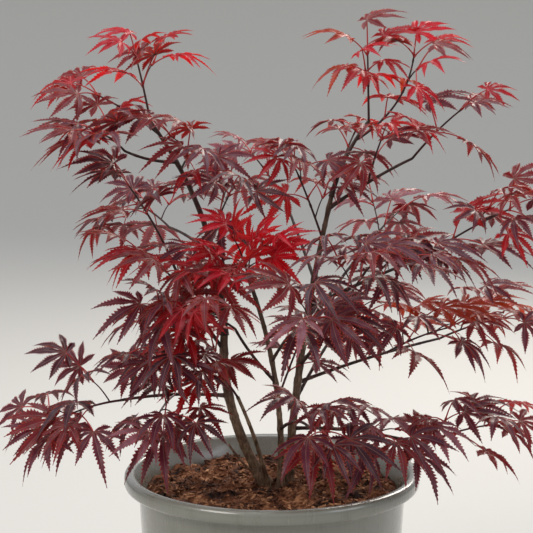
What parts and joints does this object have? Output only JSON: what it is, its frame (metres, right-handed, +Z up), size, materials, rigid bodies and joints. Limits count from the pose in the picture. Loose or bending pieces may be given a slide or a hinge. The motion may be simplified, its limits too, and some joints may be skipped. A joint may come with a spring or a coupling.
{
  "type": "potted japanese maple",
  "caption": "Young Japanese maple in a round sage-grey plastic pot: a clump of slender stems and airy sprays of drooping, deeply cut burgundy and crimson leaves.",
  "frame": {"origin": "the centre of the pot's flat underside", "axes": "+X to the right and +Y to the back as the picture shows the plant, +Z up along the pot's axis"},
  "size_m": [0.6193, 0.5044, 0.7669],
  "materials": {
    "pot": "satin",
    "soil": "matte",
    "bark": "matte",
    "leaves_purple": "satin",
    "leaves_burgundy": "satin",
    "leaves_crimson": "satin",
    "leaves_scarlet": "satin"
  },
  "bodies": {
    "root": {"pot": "pot", "soil": "soil", "stem_left": "bark", "stem_right": "bark", "stem_centre": "bark", "stem_front": "bark", "dead_shoot": "bark", "leader_left": "bark", "leader_right": "bark", "bough_left_low": "bark", "bough_left_middle": "bark", "bough_left_upper": "bark", "bough_left_high": "bark", "bough_centre_left": "bark", "bough_front_low": "bark", "bough_front": "bark", "bough_front_right": "bark", "bough_right_low": "bark", "bough_right_middle": "bark", "bough_right_high": "bark", "bough_right_back": "bark", "bough_back_low_left": "bark", "bough_back_low_right": "bark", "bough_back_left": "bark", "bough_back_right": "bark", "bough_back_high": "bark", "spray_top_left": "leaves_crimson", "spray_crown_left": "leaves_burgundy", "spray_high_left": "leaves_burgundy", "spray_inner_left": "leaves_burgundy", "spray_shoulder_left": "leaves_purple", "spray_breast_left": "leaves_purple", "spray_crimson": "leaves_scarlet", "spray_waist_left": "leaves_purple", "spray_waist_inner": "leaves_burgundy", "spray_low_left": "leaves_purple", "spray_low_inner_left": "leaves_purple", "spray_front_left": "leaves_crimson", "spray_centre_left": "leaves_crimson", "spray_heart": "leaves_purple", "spray_front_low": "leaves_purple", "spray_front": "leaves_purple", "spray_front_right": "leaves_purple", "spray_right_middle": "leaves_burgundy", "spray_right_inner": "leaves_purple", "spray_right_high": "leaves_burgundy", "spray_right_shoulder": "leaves_burgundy", "spray_top_right": "leaves_crimson", "spray_crown_right": "leaves_crimson", "spray_centre_high": "leaves_burgundy", "spray_back_high": "leaves_purple", "spray_back_crown": "leaves_burgundy", "spray_right_back": "leaves_burgundy", "spray_right_waist": "leaves_burgundy", "spray_right_low": "leaves_burgundy", "spray_right_low_inner": "leaves_purple", "spray_back_low_left": "leaves_purple", "spray_back_low_right": "leaves_burgundy", "spray_back_left": "leaves_purple", "spray_back_right": "leaves_purple"}
  },
  "joints": []
}
